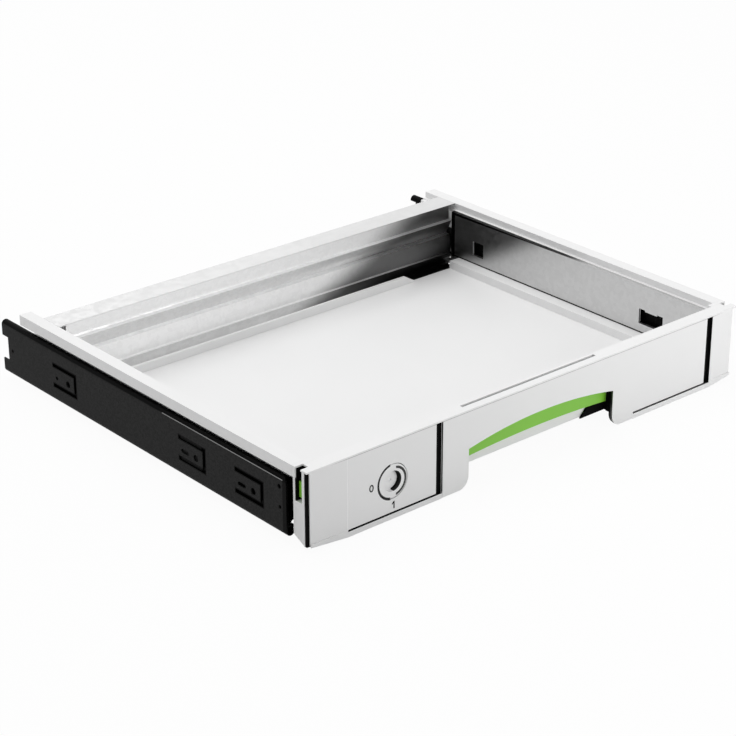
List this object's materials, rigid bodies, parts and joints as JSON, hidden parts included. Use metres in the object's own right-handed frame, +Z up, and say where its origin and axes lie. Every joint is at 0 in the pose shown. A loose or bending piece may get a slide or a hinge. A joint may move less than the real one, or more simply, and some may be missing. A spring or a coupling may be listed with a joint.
{
  "type": "drawer case",
  "caption": "Pull-out drawer case on ball slides, with steel sides, a moulded tray and front, a sprung grip that draws side latches, and a round lock.",
  "frame": {"origin": "centre of the bounding box at the underside, with the drawer closed", "axes": "+X to the right along the front, +Y from the front towards the back, +Z up"},
  "size_m": [0.4434, 0.3824, 0.0625],
  "materials": {
    "white_plastic": "fine grained",
    "black_plastic": "matt",
    "green_plastic": "satin",
    "black_steel": "black zinc, satin",
    "galvanised_sheet": "galvanised, satin",
    "cage_steel": "zinc plated",
    "ball_steel": "polished",
    "screw_steel": "zinc plated",
    "spring_steel": "blued"
  },
  "bodies": {
    "cabinet_rails": {"cabinet_member_left": "black_steel", "cabinet_member_right": "black_steel", "closing_bumpers": "black_plastic"},
    "drawer": {"drawer_member_left": "black_steel", "drawer_member_right": "black_steel", "slide_screws": "screw_steel", "tray": "white_plastic", "tray_screws": "screw_steel", "rim_left": "white_plastic", "rim_right": "white_plastic", "side_plate_left": "galvanised_sheet", "side_plate_right": "galvanised_sheet", "rear_wall": "galvanised_sheet", "rear_wall_screws": "screw_steel", "front_frame": "white_plastic", "corner_block_left": "white_plastic", "corner_block_right": "white_plastic", "channel_liner_left": "black_plastic", "channel_liner_right": "black_plastic", "front_carrier": "black_plastic", "front_screws": "screw_steel", "main_cover": "white_plastic", "label_cover": "white_plastic", "end_cap_left": "white_plastic", "end_cap_right": "white_plastic", "pivot_rod": "screw_steel", "grip_springs": "spring_steel"},
    "grip": {"grip_handle": "green_plastic"},
    "latch_left": {"latch_bar_left": "green_plastic"},
    "latch_right": {"latch_bar_right": "green_plastic"},
    "lock": {"lock_barrel": "white_plastic", "lock_cam": "screw_steel", "cam_screw": "screw_steel"},
    "outer_cage_left": {"outer_cage_left": "cage_steel", "outer_balls_left": "ball_steel"},
    "middle_left": {"middle_member_left": "black_steel"},
    "inner_cage_left": {"inner_cage_left": "cage_steel", "inner_balls_left": "ball_steel"},
    "outer_cage_right": {"outer_cage_right": "cage_steel", "outer_balls_right": "ball_steel"},
    "middle_right": {"middle_member_right": "black_steel"},
    "inner_cage_right": {"inner_cage_right": "cage_steel", "inner_balls_right": "ball_steel"}
  },
  "joints": [
    {"name": "drawer_slide", "type": "slide", "parent": "cabinet_rails", "child": "drawer", "axis": [0, -1, 0], "range_m": [0, 0.35]},
    {"name": "middle_slide_left", "type": "slide", "parent": "cabinet_rails", "child": "middle_left", "axis": [0, -1, 0], "range_m": [0, 0.175]},
    {"name": "outer_cage_slide_left", "type": "slide", "parent": "cabinet_rails", "child": "outer_cage_left", "axis": [0, -1, 0], "range_m": [0, 0.0875]},
    {"name": "inner_cage_slide_left", "type": "slide", "parent": "cabinet_rails", "child": "inner_cage_left", "axis": [0, -1, 0], "range_m": [0, 0.2625]},
    {"name": "middle_slide_right", "type": "slide", "parent": "cabinet_rails", "child": "middle_right", "axis": [0, -1, 0], "range_m": [0, 0.175]},
    {"name": "outer_cage_slide_right", "type": "slide", "parent": "cabinet_rails", "child": "outer_cage_right", "axis": [0, -1, 0], "range_m": [0, 0.0875]},
    {"name": "inner_cage_slide_right", "type": "slide", "parent": "cabinet_rails", "child": "inner_cage_right", "axis": [0, -1, 0], "range_m": [0, 0.2625]},
    {"name": "grip_pivot", "type": "hinge", "parent": "drawer", "child": "grip", "pos_m": [0.0055, -0.18395, 0.054], "axis": [-1, 0, 0], "range_deg": [0, 11], "stiffness_Nm_per_rad": 0.5, "springref_deg": -5.73, "deforming": ["grip_springs"]},
    {"name": "latch_slide_left", "type": "slide", "parent": "drawer", "child": "latch_left", "axis": [1, 0, 0], "range_m": [0, 0.00325]},
    {"name": "latch_slide_right", "type": "slide", "parent": "drawer", "child": "latch_right", "axis": [-1, 0, 0], "range_m": [0, 0.00325]},
    {"name": "lock_turn", "type": "hinge", "parent": "drawer", "child": "lock", "pos_m": [-0.1424, -0.18925, 0.0299], "axis": [0, 1, 0], "range_deg": [-90, 0]}
  ],
  "couplings": [
    {"joint": "middle_slide_left", "follows": "drawer_slide", "ratio": 0.5},
    {"joint": "outer_cage_slide_left", "follows": "drawer_slide", "ratio": 0.25},
    {"joint": "inner_cage_slide_left", "follows": "drawer_slide", "ratio": 0.75},
    {"joint": "middle_slide_right", "follows": "drawer_slide", "ratio": 0.5},
    {"joint": "outer_cage_slide_right", "follows": "drawer_slide", "ratio": 0.25},
    {"joint": "inner_cage_slide_right", "follows": "drawer_slide", "ratio": 0.75},
    {"joint": "latch_slide_left", "follows": "grip_pivot", "m_per_rad": 0.01688},
    {"joint": "latch_slide_right", "follows": "grip_pivot", "m_per_rad": 0.01688}
  ]
}
